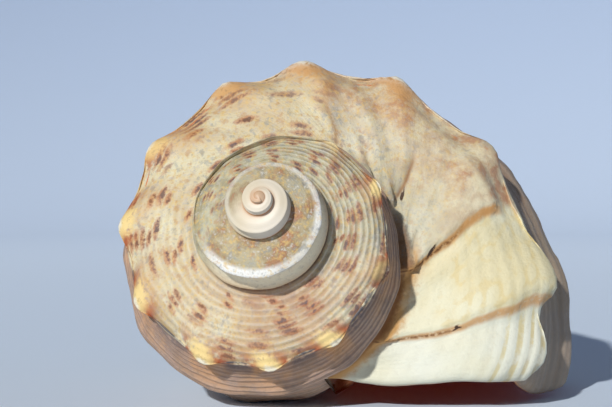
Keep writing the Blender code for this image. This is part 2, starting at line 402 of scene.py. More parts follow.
print("arithmetic that becomes nodes:", ", ".join(SIGNS))

# %% [markdown]
# Shell growth has no hard steps: knobs swell and fade, colours melt into each other. So
# nearly every formula uses a soft step or a bell, and noise breaks them up. A picture
# could do that too, but a computed noise never repeats and can follow the coil.

# %% Soft steps, bells and noise


def rise(value, start, end, low=0.0, high=1.0):
    """A smooth step from low to high while value goes from start to end."""
    return node(value.tree, "ShaderNodeMapRange", {
        "Value": value, "From Min": start, "From Max": end, "To Min": low, "To Max": high,
    }, "Result", interpolation_type="SMOOTHSTEP")


def bump(distance, width):
    """A bell curve, 1 where the distance is 0."""
    share = distance / width
    return (0.0 - share * share).of("EXPONENT")


def combine(tree, *terms):
    return node(tree, "ShaderNodeCombineXYZ", dict(enumerate(terms)))


def noise(tree, place, scale, detail=2.0, roughness=0.5):
    """Soft cloudy values around a half."""
    return node(tree, "ShaderNodeTexNoise", {
        "Vector": place, "Scale": scale, "Detail": detail, "Roughness": roughness})


def coil_noise(along_growth, across, detail, layer=0.0, roughness=0.5):
    """Noise that lies on the coil and so grows with it."""
    tree = along_growth.tree
    return noise(tree, combine(tree, along_growth, across, layer), 1.0, detail, roughness)


FULL_TURN = 2 * math.pi
print("one turn in radians:", round(FULL_TURN, 3))

# %% [markdown]
# Where the animal rested, the old lip stays as a ledge across the ramp. Three lie on the
# newest half whorl. They could be cut with another mesh, but a step in the height, along
# a line that leans forward from the suture, follows the growth lines by itself.

# %% Ledges, a crease and borers' pits
# Each ledge starts at the suture so many whorls back and moves by so much per place
# until a place; then how high it is, and where along the section it fades
LEDGES = [
    (0.375, -0.0250, 3.0, 0.011, (0.2, 4.6)),
    (0.166, -0.0165, 4.0, 0.044, (0.3, 2.7)),
    (0.073, -0.0135, 1.85, 0.030, (0.5, 4.6)),
]
LEDGE_SLOPE, LEDGE_FALL = 0.050, 0.005
CREASE = (0.256, -0.0190, 0.020, (1.0, 1.5))
CREASE_WIDTH = 0.005
# Small deep pits left by borers: whorls back, place, and their size in both
PITS = [(0.231, 1.06, 0.0030, 0.13), (0.145, 1.28, 0.0022, 0.09), (0.0465, 1.78, 0.0020, 0.06)]
PIT_DEPTH = 0.025


def line_distance(back, place, start, shift, until=9.0):
    """Whorls behind a growth line that leans forward from the suture."""
    wobble = noise(back.tree, combine(back.tree, place, start * 50, 0.0), 1.4, 2.0) - 0.5
    return back - start - place.of("MINIMUM", until) * shift + wobble * 0.010


def within(place, limits):
    """1 between two places, with soft ends."""
    return rise(place, limits[0] - 0.5, limits[0]) * rise(place, limits[1] + 0.5, limits[1])


def pit_mask(back, place):
    total = 0.0
    place = place + (coil_noise(back * 400, place * 9.0, 2.0) - 0.5) * 0.3
    for start, at, length, breadth in PITS:
        total = bump(back - start, length) * bump(place - at, breadth) + total
    return total


def ledge_relief(back, place, height_factor):
    total = 0.0
    for start, shift, until, height, limits in LEDGES:
        older = line_distance(back, place, start, shift, until)
        slope = (0.0 - older.of("MAXIMUM", 0.0) / LEDGE_SLOPE).of("EXPONENT")
        total = rise(older, -LEDGE_FALL, 0.0) * slope * height * within(place, limits) + total
    start, shift, depth, limits = CREASE
    fold = bump(line_distance(back, place, start, shift), CREASE_WIDTH) * within(place, limits)
    return (total - fold * depth - pit_mask(back, place) * PIT_DEPTH) * height_factor


print("ledges:", len(LEDGES), "pits:", len(PITS))

# %% [markdown]
# Knobs are the widest swellings of the keel, which draws in between them. Lumps could be
# set on the keel, but a knob is a swelling of the same wall, so it is height as well:
# strong on the last whorl, a faint wave on the older ones.

# %% Large forms: the knobbed keel
KNOB_HEIGHT, KNOB_GAP, KNOB_WIDTH = 0.075, 0.080, 7.3
STRONG_KNOBS, WEAK_KNOBS, KNOBS_BEGIN, WAVE_SHARE = 1.12, 1.35, 2.8, 0.2
KEEL_ROWS, CORD_ROWS = 0.85, 0.35
SHOULDER = (1.3, 0.34)               # places above the keel, share of the knob's height
COVERED_KEEL = (1.40, 0.17, 0.125)   # whorls back, spread, how far the keel sinks
WALL_SWELL = (0.70, 0.09, 0.030)     # the same for a bulge low on the left
WALL_SINK = (1.09, 0.10, 0.070)      # and for the wall behind the mouth, which is steep
SWELL_PLACE, SWELL_ROWS = 6.5, 1.6


def knob_relief(back, place, knob, knob_height, knob_width):
    waves = WAVE_SHARE * rise(back, KNOBS_BEGIN, KNOBS_BEGIN - 1)
    strength = waves + (1 - WAVE_SHARE) * rise(back, WEAK_KNOBS, STRONG_KNOBS)
    peak = strength * bump(knob, knob_width)
    height = (knob_height * peak - KNOB_GAP * strength) * bump(place - KEEL, KEEL_ROWS)
    covered = bump(back - COVERED_KEEL[0], COVERED_KEEL[1])
    height = height - COVERED_KEEL[2] * covered * bump(place - KEEL, 2 * KEEL_ROWS)
    swell = bump(back - WALL_SWELL[0], WALL_SWELL[1]) * bump(place - SWELL_PLACE, SWELL_ROWS)
    shoulder = bump(place - KEEL + SHOULDER[0], KEEL_ROWS) * knob_height * SHOULDER[1]
    sink = bump(back - WALL_SINK[0], WALL_SINK[1]) * rise(place, KEEL + 0.2, SUTURE - 1)
    return height + swell * WALL_SWELL[2] - sink * WALL_SINK[2] + shoulder * peak, peak


print("knobs stand", round(1000 * KEEL_RADIUS * KNOB_HEIGHT, 1), "mm high")

# %% [markdown]
# Fine cords run round every whorl and growth folds cross them. A bump texture could fake
# them, but they break the outline of the shell, so they are real height. A cosine of the
# length along the section spaces the cords evenly on every whorl.

# %% Fine forms: spiral cords and growth folds
BIG_CORD_HEIGHT = 0.022
FOLDS = (0.28, 0.06, 0.085)          # whorls back, spread and height of the strong folds
NET = (0.08, 0.04, 0.006)            # the same for the netted stretch by the lip
NET_LINES = 62                       # growth lines of the net in a whorl


def cord_phase(back, girth):
    """Cords passed on the way along the section; the cords wander a little."""
    wander = coil_noise(back * 5.0, girth * 9.0, 1.0)
    return (girth + (wander - 0.5) * 0.05) / CORD_PITCH


def cord_wave(phase):
    """1 on top of a cord, 0 in the groove between two."""
    return (phase * FULL_TURN).of("COSINE") * 0.5 + 0.5


def net_wave(back, girth):
    """Bumps in a net, where cords and growth lines cross."""
    uneven = coil_noise(back * 30.0, girth * 12.0, 1.0) * 5
    lines = (back * (FULL_TURN * NET_LINES) + uneven).of("SINE") * 0.5 + 0.5
    return cord_wave(cord_phase(back, girth)) * lines


def cord_strength(back, place):
    """Strong on the older half of the last whorl and on the wall, faint near the lip."""
    ramp = rise(back, 0.40, 0.95, 0.08, 1.0) * rise(back, 1.50, 1.20, 0.12, 1.0)
    lip = rise(back, 0.07, 0.0) * bump(place - 3.6, 0.9)
    wall = rise(place, KEEL + 0.3, KEEL + 1.0) * rise(back, 1.5, 1.2) * 0.6
    return ramp + lip + wall


def fine_relief(back, place, girth, peak, cord_height):
    """The big cords of the wall and base, the fine ones, and growth folds."""
    height = 0.0
    for cord in (SECOND_CORD, THIRD_CORD, BASE + 0.3):
        height = bump(place - cord, CORD_ROWS) * (0.3 + peak) * BIG_CORD_HEIGHT + height
    cords = cord_wave(cord_phase(back, girth)) * cord_strength(back, place) * cord_height
    folds = coil_noise(back * 44.0, place * 0.35, 2.0) - 0.5
    amount = bump(back - FOLDS[0], FOLDS[1]) * rise(place, 3.2, 1.2) * FOLDS[2]
    amount = rise(back, 0.8, 0.3, 0.008, 0.030) + amount
    net = net_wave(back, girth) * bump(back - NET[0], NET[1]) * within(place, (1.8, 3.8))
    return height + cords + net * NET[2] + folds * amount * rise(back, 2.6, 1.4)


print("cords lie", round(1000 * KEEL_RADIUS * CORD_PITCH, 2), "mm apart at the keel")

# %% [markdown]
# Now the winding. A Screw modifier could turn the strip, but not shrink it as it turns.
# Here a point's angle follows from how many whorls it lies back, and its distance from
# the axis shrinks by the whorl growth for each. Every size worth turning is an input.

# %% Where each point of the strip goes
SIZES = {
    "Keel Radius": KEEL_RADIUS, "Whorl Growth": WHORL_GROWTH, "Lip End": LIP_END,
    "Knob Height": KNOB_HEIGHT, "Knob Width": KNOB_WIDTH, "Cord Height": 0.0065,
    "Ledge Height": 1.0, "Lip Flare": 0.085, "Recurve": 10.0 * MM, "Tilt": 21.0,
    "Roughness": 0.35 * MM, "Seed": 7.0,
}
FLARE_WHORLS, FLARE_RADII, FLARE_ABOVE = 0.20, (0.45, 0.85), 0.75
RECURVE_START = 1.30
# Degrees worn off the lip, the place where most is gone, and the spread
RAMP_WEAR, WALL_WEAR, WEAR_WHORLS = (2.2, 1.7, 0.8), (3.6, 8.0, 2.2), 0.12


def named(tree, name):
    return node(tree, "GeometryNodeInputNamedAttribute", {"Name": name}, "Attribute",
                data_type="FLOAT")


def wound_position(tree, size):
    """Position of a point of the shell, with its relief."""
    at = {name: named(tree, name) for name in [*Strip.NAMES, "knob"]}
    back, place = at["whorls_back"], at["place"]
    knobs, peak = knob_relief(back, place, at["knob"], size["Knob Height"],
                              size["Knob Width"])
    fine = fine_relief(back, place, at["girth"], peak, size["Cord Height"])
    fine = fine + ledge_relief(back, place, size["Ledge Height"])
    height = knobs * at["knobbed"] + fine * (1.0 - at["inside"]) - at["sunk"]
    radius = at["radius"] + at["out"] * height
    depth = at["depth"] - at["up"] * height

    worn = [most * bump(place - middle, spread)
            for most, middle, spread in (RAMP_WEAR, WALL_WEAR)]
    lag = at["lag"] + (worn[0] + worn[1]) * rise(back, WEAR_WHORLS, 0.0)
    turns = back + (lag - SECTION[KEEL][2]) / 360
    growth = size["Whorl Growth"] ** (0.0 - turns)
    below_keel = rise(depth, SECTION[KEEL][1], SECTION[KEEL][1] + 1, FLARE_ABOVE, 1.0)
    spread = rise(radius, *FLARE_RADII) * below_keel
    flare = 1.0 + size["Lip Flare"] * rise(back, FLARE_WHORLS, 0.0) * spread

    angle = (size["Lip End"] + back * 360 + lag) * (math.pi / 180)
    across = size["Keel Radius"] * radius * growth ** at["wider"] * flare
    below = size["Keel Radius"] * depth * growth ** at["deeper"]
    bend_length = max(p[1] for p in SECTION) - RECURVE_START
    bend = ((below / size["Keel Radius"] - RECURVE_START) / bend_length).of("MAXIMUM", 0.0)
    y = across * angle.of("SINE") + size["Recurve"] * bend * bend
    return combine(tree, across * angle.of("COSINE"), y, 0.0 - below)


print("sizes to turn:", ", ".join(SIZES))

# %% [markdown]
# A grown surface is never quite even, so after the winding it swells and sinks a little
# along its normal. Last, the tree tilts the coil as the shell lies and sets the two
# finishes, the glazed one in the mouth and the worn one on the rest.

# %% The tree that winds the strip
SWELL_SCALE = 160.0                  # swellings a metre
INSIDE_SMOOTHER = 0.7


def uneven_growth(tree, size):
    """How far each point moves along its normal."""
    seed = combine(tree, size["Seed"], size["Seed"], size["Seed"])
    cloud = node(tree, "ShaderNodeVectorMath",
                 {0: node(tree, "GeometryNodeInputPosition", {}), 1: seed}, operation="ADD")
    back, inside = named(tree, "whorls_back"), named(tree, "inside")
    swell = noise(tree, cloud, SWELL_SCALE, 3.0, 0.55) - 0.5
    amount = swell * size["Roughness"] * 2.0 * rise(back, 3.2, 1.2, 0.05, 1.0)
    amount = amount * (1.0 - INSIDE_SMOOTHER * inside)
    normal = node(tree, "GeometryNodeInputNormal", {})
    return node(tree, "ShaderNodeVectorMath", {0: normal, "Scale": amount}, operation="SCALE")


def winding_tree(worn_finish, mouth_finish):
    tree = bpy.data.node_groups.new("wind_the_shell", "GeometryNodeTree")
    sockets = tree.interface
    sockets.new_socket("Strip", in_out="INPUT", socket_type="NodeSocketGeometry")
    for name, value in SIZES.items():
        added = sockets.new_socket(name, in_out="INPUT", socket_type="NodeSocketFloat")
        added.default_value = value
    sockets.new_socket("Shell", in_out="OUTPUT", socket_type="NodeSocketGeometry")
    start = tree.nodes.new("NodeGroupInput")
    size = {name: Flow(tree, start.outputs[name]) for name in SIZES}
    shell = Flow(tree, start.outputs["Strip"])
    shell = node(tree, "GeometryNodeSetPosition",
                 {"Geometry": shell, "Position": wound_position(tree, size)})
    shell = node(tree, "GeometryNodeSetPosition",
                 {"Geometry": shell, "Offset": uneven_growth(tree, size)})
    tilt = combine(tree, (90.0 - size["Tilt"]) * (math.pi / 180), 0.0, 0.0)
    shell = node(tree, "GeometryNodeTransform", {"Geometry": shell, "Rotation": tilt})
    shell = node(tree, "GeometryNodeRealizeInstances", {"Geometry": shell})
    in_mouth = named(tree, "inside").of("GREATER_THAN", 0.5)
    for finish, chosen in ((worn_finish, True), (mouth_finish, in_mouth)):
        shell = node(tree, "GeometryNodeSetMaterial",
                     {"Geometry": shell, "Material": finish, "Selection": chosen})
    feed(tree, tree.nodes.new("NodeGroupOutput").inputs["Shell"], shell)
    print("winding tree:", len(tree.nodes), "nodes")
    return tree


# %% [markdown]
# The colours come before the winding, because the tree sets the materials. A worn beach
# shell is chalky: cream, with rust and brown dashes where the spiral cords cross the
# flames of colour, and smooth and orange inside. The pattern was laid down as the shell
# grew, so it reads the coil coordinates: whorls behind the lip, and place on the section.

# %% Helpers for colour


def linear(red, green, blue):
    """A colour as a picture gives it, 0 to 255, in the renderer's linear values."""
    values = [c / 255 for c in (red, green, blue)]
    return (*[v / 12.92 if v <= 0.04045 else ((v + 0.055) / 1.055) ** 2.4 for v in values], 1.0)


def mix(share, first, second):
    """From the first colour to the second as share goes from 0 to 1.

    A colour is a flow, or red, green and blue as a picture gives them.
    """
    first, second = (c if isinstance(c, Flow) else linear(*c) for c in (first, second))
    return node(share.tree, "ShaderNodeMix", {0: share, 6: first, 7: second}, 2,
                data_type="RGBA")


def new_material(name):
    material = bpy.data.materials.new(name)
    material.use_nodes = True
    tree = material.node_tree
    return material, tree, tree.nodes["Principled BSDF"]


def coil_coordinates(tree):
    """Whorls behind the lip, place on the section, and length along the section."""
    values = []
    for layer in ("coil", "cords"):
        uv = node(tree, "ShaderNodeUVMap", {}, uv_map=layer)
        split = node(tree, "ShaderNodeSeparateXYZ", {0: uv}).socket.node.outputs
        values.append((Flow(tree, split[0]), Flow(tree, split[1])))
    return *values[0], values[1][1]


def attribute(tree, name):
    return node(tree, "ShaderNodeAttribute", {}, "Fac", attribute_name=name)


def object_place(tree):
    return node(tree, "ShaderNodeTexCoord", {}, "Object")


print("a mid grey of 128 is", round(linear(128, 128, 128)[0], 3), "in linear values")

# %% [markdown]
# Lime that lay in sun and sea is grainy at the scale of a millimetre, inside and out.
# Both finishes need that grain at their own size, so it is a node group with the size as
# an input, instead of the same nodes twice.

# %% Fine limy grain, a group that both finishes use


def grain_group():
    tree = bpy.data.node_groups.new("limy_grain", "ShaderNodeTree")
    tree.interface.new_socket("Size mm", in_out="INPUT", socket_type="NodeSocketFloat")
    tree.interface.new_socket("Grain", in_out="OUTPUT", socket_type="NodeSocketFloat")
    size_mm = Flow(tree, tree.nodes.new("NodeGroupInput").outputs[0])
    scaled = node(tree, "ShaderNodeVectorMath",
                  {0: object_place(tree), "Scale": (1 / MM) / size_mm}, operation="SCALE")
    fine = noise(tree, scaled, 1.0, 4.0, 0.65)
    feed(tree, tree.nodes.new("NodeGroupOutput").inputs[0], fine)
    return tree


GRAIN = grain_group()


def grain(tree, size_mm):
    return node(tree, "ShaderNodeGroup", {"Size mm": size_mm}, "Grain", node_tree=GRAIN)


print("grain group:", len(GRAIN.nodes), "nodes")

# %% [markdown]
# The outside is painted in layers. First the ground of the last whorl. Each lip left its
# own: sandy and mottled, then ivory, then nearly white. One could paint them by hand, but
# the growth lines already say where each begins.

# %% Ground colours of the last whorl
YELLOW, VALLEY_SHADE_GREY = (238, 206, 138), (120, 120, 122)
CREAM = (232, 220, 184), (216, 194, 154)
OLD_MOTTLED = (230, 214, 178), (204, 174, 138)
OLD_SMOOTH = (224, 216, 190), (206, 194, 162)
OLD_RUST = (186, 124, 88)
IVORY = (236, 228, 196), (224, 206, 156)
NET_YELLOW = (226, 198, 128)
LIP_WHITE = (230, 228, 210), (228, 218, 180)
FLUTE_YELLOW = (228, 204, 120)


def since_ledge(back, place, ledge, start, end):
    """1 on the side of a ledge where the shell is newer."""
    return rise(line_distance(back, place, *LEDGES[ledge][:3]), start, end)


def last_whorl(back, place, girth, cloud, mottle):
    """Cream, yellower at the keel; each later lip is paler."""
    colour = mix(rise(cloud, 0.35, 0.65), *CREAM)
    near_keel = rise(place, 2.4, 4.0) * rise(mottle, 0.42, 0.60)
    colour = mix(near_keel * 0.75, colour, YELLOW)
    # Painted shade: a grey streak along the oldest lip's line, in the valley beside the top
    # knob.
    grey = bump(line_distance(back, place, *LEDGES[0][:3]) + 0.012, 0.010)
    colour = mix(grey * within(place, (1.6, 4.4)) * 0.6, colour, VALLEY_SHADE_GREY)

    mottled = mix(rise(mottle, 0.34, 0.62), *OLD_MOTTLED)
    mottled = mix(rise(mottle, 0.55, 0.64) * rise(place, 1.6, 2.6) * 0.6, mottled, OLD_RUST)
    smooth = mix(rise(cloud, 0.4, 0.6), *OLD_SMOOTH)
    older_lip = mix(rise(place + cloud * 2, 2.0, 3.6), smooth, mottled)
    colour = mix(since_ledge(back, place, 0, 0.004, -0.03), colour, older_lip)

    net = rise(net_wave(back, girth), 0.30, 0.02) * within(place, (1.7, 3.9))
    growth = mix(rise(cloud, 0.35, 0.6) * 0.6, *IVORY)
    growth = mix(net * rise(mottle, 0.44, 0.62) * 0.45, growth, NET_YELLOW)
    colour = mix(since_ledge(back, place, 1, 0.001, -0.004), colour, growth)

    band = mix(rise(cloud, 0.3, 0.7) * 0.5, *LIP_WHITE)
    flute = rise(cord_wave(cord_phase(back, girth)), 0.45, 0.1) * within(place, (2.9, 4.2))
    band = mix(flute * rise(mottle, 0.42, 0.60) * 0.55, band, FLUTE_YELLOW)
    return mix(since_ledge(back, place, 2, 0.001, -0.004), colour, band)


print("cream in linear values:", [round(v, 2) for v in linear(*CREAM[0])[:3]])

# %% [markdown]
# The older the whorl, the longer it was rubbed: the second is grey-green, the third has a
# keel worn white over a stained ramp, and the first ones are smooth and pale, with an
# orange line along the suture. Whorls behind the lip tell them apart, with no mask to draw.

# %% Ground colours of the spire
SECOND_WHORL = (204, 196, 164), (172, 160, 126)
THIRD_RAMP = (200, 184, 144), (160, 134, 98)
RAMP_RUST, RAMP_GREY = (190, 122, 80), (150, 152, 150)
WORN_KEEL, THIRD_WALL, WALL_STAIN = (250, 246, 238), (255, 240, 206), (190, 140, 84)
NUCLEUS = (238, 224, 204), (226, 208, 178)
NUCLEUS_LINE, NUCLEUS_TIP = (204, 140, 88), (206, 142, 84)


def spire(back, place, cloud, mottle):
    """The older whorls: grey-green and corded, then white-keeled, then smooth and pale."""
    second = mix(rise(mottle, 0.38, 0.62), *SECOND_WHORL)
    third = mix(rise(mottle, 0.36, 0.62), *THIRD_RAMP)
    third = mix(rise(mottle, 0.54, 0.62) * 0.6, third, RAMP_RUST)
    third = mix(rise(mottle, 0.44, 0.36) * 0.4, third, RAMP_GREY)
    white_keel = rise(place, 2.7, 3.3) * rise(place, 5.6, 4.8)
    whiter = bump(back - 1.86, 0.34) * 0.8 + 0.3
    third = mix(white_keel * whiter * rise(cloud, 0.30, 0.50, 0.6, 1.0), third, WORN_KEEL)
    third = mix(rise(place, 4.8, 5.4), third, THIRD_WALL)
    third = mix(rise(place + cloud, 6.2, 8.2) * 0.7, third, WALL_STAIN)
    colour = mix(rise(back + (cloud - 0.5) * 0.2, 1.62, 1.74), second, third)
    smooth = mix(rise(cloud, 0.35, 0.65), *NUCLEUS)
    lines = bump(place - 0.2, 0.7) + bump(place - SUTURE, 0.8)
    smooth = mix(rise(back, 4.1, 4.7) * 0.6, mix(lines, smooth, NUCLEUS_LINE), NUCLEUS_TIP)
    return mix(rise(back, 2.55, 2.75), colour, smooth)


print("worn keel in linear values:", [round(v, 2) for v in linear(*WORN_KEEL)[:3]])

# %% [markdown]
# Over the ground lie stains and wear a millimetre wide, pale crests on the cords, and
# below the keel the mauve wall, streaked along the growth lines. One noise gives two
# stains that never meet, one from its high values and one from its low ones.

# %% Crust, cords and wall
CRUST = [                            # grain in mm, from, to, share, colour
    (0.8, 0.50, 0.68, 0.65, (230, 192, 112)),
    (1.5, 0.54, 0.67, 0.55, (146, 150, 150)),
    (1.5, 0.47, 0.33, 0.50, (190, 136, 90)),
    (0.8, 0.46, 0.30, 0.60, (246, 242, 232)),
]
GROOVE, CREST = (164, 136, 104), (240, 234, 216)
WALL = (152, 124, 116), (198, 158, 134)
BASE_SAND, ORANGE_STAIN = (206, 186, 156), (212, 158, 114)
STREAK, SHADED_WALL_BY_LIP = (146, 112, 92), (138, 122, 104)
ROSE = (176, 128, 100)


def crust(tree, colour, back, place):
    """Yellow and brown stain, blue-grey and chalky wear."""
    amount = rise(back, 0.16, 0.30, 0.50, 1.0) * rise(back, 0.12, 0.17) * rise(back, 2.6, 2.3)
    amount = amount * (1.0 - 0.85 * rise(place, 4.4, 5.0) * rise(back, 1.5, 1.7))
    grains = {size: grain(tree, size) for size in (0.8, 1.5)}
    for size, start, end, share, tint in CRUST:
        colour = mix(rise(grains[size], start, end) * amount * share, colour, tint)
    return colour


def cords_and_wall(colour, back, place, girth, mottle):
    phase = cord_phase(back, girth)
    wave = cord_wave(phase)
    corded = cord_strength(back, place) * rise(mottle, 0.36, 0.58, 0.45, 1.0)
    colour = mix(rise(wave, 0.55, 0.05) * corded * 0.35, colour, GROOVE)
    colour = mix(rise(wave, 0.70, 0.95) * corded * 0.50, colour, CREST)
    wall = mix(rise(cord_wave(phase * 2.0) * 0.5 + mottle, 0.35, 1.1), *WALL)
    wall = mix(rise(place, 8.2, 10.0) * 0.6, wall, BASE_SAND)
    wall = mix(rise(mottle, 0.44, 0.62) * rise(place, 8.0, 4.6) * 0.7, wall, ORANGE_STAIN)
    streaks = coil_noise(back * 36.0, place * 0.5, 3.0, layer=2.0)
    wall = mix(rise(streaks, 0.50, 0.62) * 0.35, wall, STREAK)
    # Painted shade: the wall below the keel darkens towards the lip, where it lies in shadow.
    wall = mix(rise(back, 0.25, 0.12) * 0.7, wall, SHADED_WALL_BY_LIP)
    below_keel = rise(place, KEEL + 0.2, KEEL + 0.8) * rise(back, 1.45, 1.1)
    colour = mix(below_keel * 0.85, colour, wall)
    rosy = rise(place, 3.4, 1.4) * bump(back - 0.92, 0.12) * rise(mottle, 0.35, 0.6, 0.5, 1.0)
    return mix(rosy * 0.7, colour, ROSE)


print("layers of crust:", len(CRUST))

# %% [markdown]
# Brown dashes sit on the cords, in rows across the whorl called flames. Painting by hand
# could place them, but a grid follows every cord: each cord and row make a cell, and
# white noise gives a cell its own number for the size and shift of its dash.

# %% Brown dashes
FLAMES = 21.0                        # rows of dashes in a whorl
FLAME_LEAN = 0.13                    # of a row, from one cord to the next
DASH_WIDTH = 0.40                    # in cords
RUST, PALE_RUST = (178, 98, 54), (200, 118, 62)
DARK_BROWN, SLATE = (98, 62, 46), (88, 82, 88)


def dashes(tree, colour, back, place, girth, fine):
    cord = cord_phase(back, girth)
    number = (cord + 0.5).of("FLOOR")
    flame = back * FLAMES + number * FLAME_LEAN
    cell = flame.of("FLOOR")
    own = node(tree, "ShaderNodeTexWhiteNoise", {"Vector": combine(tree, cell, number, 0.0)},
               "Value")
    across = (cord - number) / DASH_WIDTH
    long = ((flame - cell) - 0.5 + (own - 0.5) * 0.35) / (0.14 + own * 0.20)
    size = across * across + long * long + (fine - 0.5) * 5.0
    group = coil_noise(cell * 0.8, number * 0.35, 0.0, layer=3.0)
    where = rise(back, 0.20, 0.45) * rise(back, 1.75, 1.5) * rise(place, 0.3, 1.0)
    where = where * rise(group + own * 0.24, 0.56, 0.66)
    where = where * (rise(place, 4.0, 3.5) + rise(place, 8.0, 9.0) * 0.5)
    outer = rise(size, 2.3, -0.2) * where
    centre = rise(size + across * 0.6, 0.8, -0.5) * where
    colour = mix(outer * 0.8, colour, mix(own, PALE_RUST, RUST))
    return mix(centre * 0.85, colour, mix(rise(own, 0.4, 0.6), DARK_BROWN, SLATE))


print("dashes at most on a whorl's ramp:",
      round(FLAMES * ROW_LENGTHS[int(np.argmin(abs(ROWS - KEEL)))] / CORD_PITCH))

# %% [markdown]
# On the keel the colours gather: golden knobs with chalky tips and rusty flanks, slate
# patches on the wall between them. The distance to the nearest knob is stored on every
# point, so the paint meets the relief without a second layout.

# %% Golden knobs and slate patches
HALO_AND_PAINTED_LIGHT, TIP_CHALK, RIM_CHALK = (216, 148, 78), (250, 242, 220), (240, 234, 220)
GOLD = (248, 216, 146), (216, 162, 104)
FLANK_RUST, BURNT, PATCH = (178, 82, 38), (104, 62, 50), (92, 88, 96)


def knob_colours(colour, back, place, knob, mottle, fine):
    ragged = (fine - 0.5) * 0.8
    on_keel = rise(back, 0.17, 0.21) * rise(back, 1.3, 1.12)
    # Partly painted light: the orange halo round each knob reaches below the keel and lightens
    # the shaded wall under it.
    halo = bump(knob, 10.0) * bump(place - KEEL - 0.3, 1.6) * rise(mottle, 0.36, 0.54, 0.3, 1.0)
    colour = mix(halo * on_keel * 0.85, colour, HALO_AND_PAINTED_LIGHT)
    lump = bump(knob, 6.5) * bump(place - KEEL + 0.1, 0.95)
    gold = mix(rise(back, 0.55, 0.35), *GOLD)
    colour = mix(rise(lump + ragged, 0.2, 0.6) * on_keel, colour, gold)
    tip = rise(bump(knob, 3.6) * bump(place - KEEL, 0.5) + ragged, 0.4, 0.8)
    colour = mix(tip * on_keel * 0.8, colour, TIP_CHALK)
    rim = bump(place - KEEL, 0.4) * rise(back, 0.42, 0.32) * rise(back, 0.15, 0.2)
    colour = mix(rim * rise(fine, 0.35, 0.55) * 0.8, colour, RIM_CHALK)
    flank = bump(knob - 7.5, 3.0) * bump(place - KEEL + 0.2, 0.8) * on_keel
    flank = flank * rise(mottle, 0.36, 0.48) * rise(back, 0.4, 0.5)
    colour = mix(flank * 0.95, colour, FLANK_RUST)
    burnt = bump(back - 1.004, 0.030) * bump(place - KEEL, 0.9) * rise(knob, 9.0, 5.0)
    colour = mix(burnt * rise(fine, 0.3, 0.5, 0.6, 1.0), colour, BURNT)
    between = rise(knob, 6.5, 10.0) * bump(place - KEEL - 0.5, 1.0) * rise(back, 1.2, 1.05)
    patch = between * rise(back, 0.50, 0.64) * rise(mottle + (fine - 0.5) * 0.4, 0.38, 0.52)
    return mix(patch * 0.95, colour, PATCH)


print("knobs placed one by one:", len(KNOB_ANGLES))

# %% [markdown]
# Sand and algae stay where nothing rubs them off: in the suture, under the ledges, in
# the pits. A mask of hidden places would have to be baked, while the lines that hold the
# dirt are known here already. By the suture near the lip, in the crack one whorl back
# and under the ledges, the colour is also painted shade: the warm brown and the dark
# lines of the shadows there, laid over the dirt.

# %% Dirt and painted shade in the sutures and under the ledges
DIRT, DARK_DIRT_AND_SHADE, PIT_DIRT = (150, 98, 50), (84, 58, 38), (72, 46, 30)
HONEY_STAIN_AND_SHADE, AMBER_STAIN_AND_SHADE, OCHRE = (212, 152, 76), (150, 92, 40), (214, 160, 92)
LEDGE_SHADE_AND_STAIN, LEDGE_SHADOW_LINE = (214, 158, 96), (122, 76, 36)
SHADE_AND_STAIN_BY_HEIGHT, SHADOW_LINE_BY_HEIGHT = 28, 30   # a higher ledge casts more painted shade and holds more dirt


def soil(colour, back, place, mottle, fine):
    # Partly painted shade: by the suture near the lip, where the spire casts its shadow, the
    # stain takes the warm brown of that shadow.
    near = place + (fine - 0.5) * 0.5 + rise(back, 0.08, 0.03) * 0.25
    young = rise(near, 1.15, 0.60) * rise(back, 0.20, 0.15)
    colour = mix(young * rise(mottle, 0.25, 0.5, 0.6, 0.9), colour, HONEY_STAIN_AND_SHADE)
    # Partly painted shade: the suture's edge near the lip turns amber, then dark brown, as the
    # deep shadow there, over real dirt in the crack.
    edge = rise(near, 0.50, 0.10) * rise(back, 0.27, 0.20)
    colour = mix(edge * 0.85, colour, mix(rise(back, 0.13, 0.19), AMBER_STAIN_AND_SHADE, DARK_DIRT_AND_SHADE))
    younger = line_distance(back, place, *LEDGES[1][:3]) * (-1)
    below = rise(younger, 0.0, 0.004) * rise(younger, 0.026, 0.006) * rise(place, 1.9, 0.8)
    colour = mix(below * rise(mottle, 0.35, 0.6) * 0.7, colour, OCHRE)
    seam = bump(place - 0.02, 0.20) * rise(back, 2.6, 1.9) * rise(fine, 0.3, 0.5)
    colour = mix(seam * (1.0 - bump(back - 0.45, 0.20)) * 0.85, colour, DIRT)
    # Partly painted shade: the ragged crack of the suture one whorl back is darkened as the
    # black shadow inside it, together with dirt.
    deep = bump(place + (fine - 0.5) * 0.5, 0.34) * bump(back - 1.1, 0.17)
    colour = mix(deep * 0.9, colour, DARK_DIRT_AND_SHADE)
    for start, shift, until, height, limits in LEDGES:
        older = line_distance(back, place, start, shift, until)
        # Partly painted shade: the steep face of each ledge is coloured as the brown of its
        # shadow, with some stain.
        shade = rise(older, -0.009, -0.004) * rise(older, 0.001, -0.002)
        shade = shade * within(place, limits) * rise(fine, 0.25, 0.5, 0.5, 1.0)
        colour = mix(shade * min(1.0, height * SHADE_AND_STAIN_BY_HEIGHT), colour, LEDGE_SHADE_AND_STAIN)
        # Painted shadow: a thin dark line at the foot of each ledge, under its overhang.
        line = bump(older + 0.0035, 0.0014) * within(place, (0.2, 1.5)) * rise(fine, 0.35, 0.55)
        colour = mix(line * min(1.0, height * SHADOW_LINE_BY_HEIGHT), colour, LEDGE_SHADOW_LINE)
    start, shift, depth, limits = CREASE
    fold = bump(line_distance(back, place, start, shift), 0.003) * within(place, limits)
    colour = mix(fold * 0.8, colour, DIRT)
    return mix(rise(pit_mask(back, place), 0.2, 0.6), colour, PIT_DIRT)


print("stained ledges:", len(LEDGES))

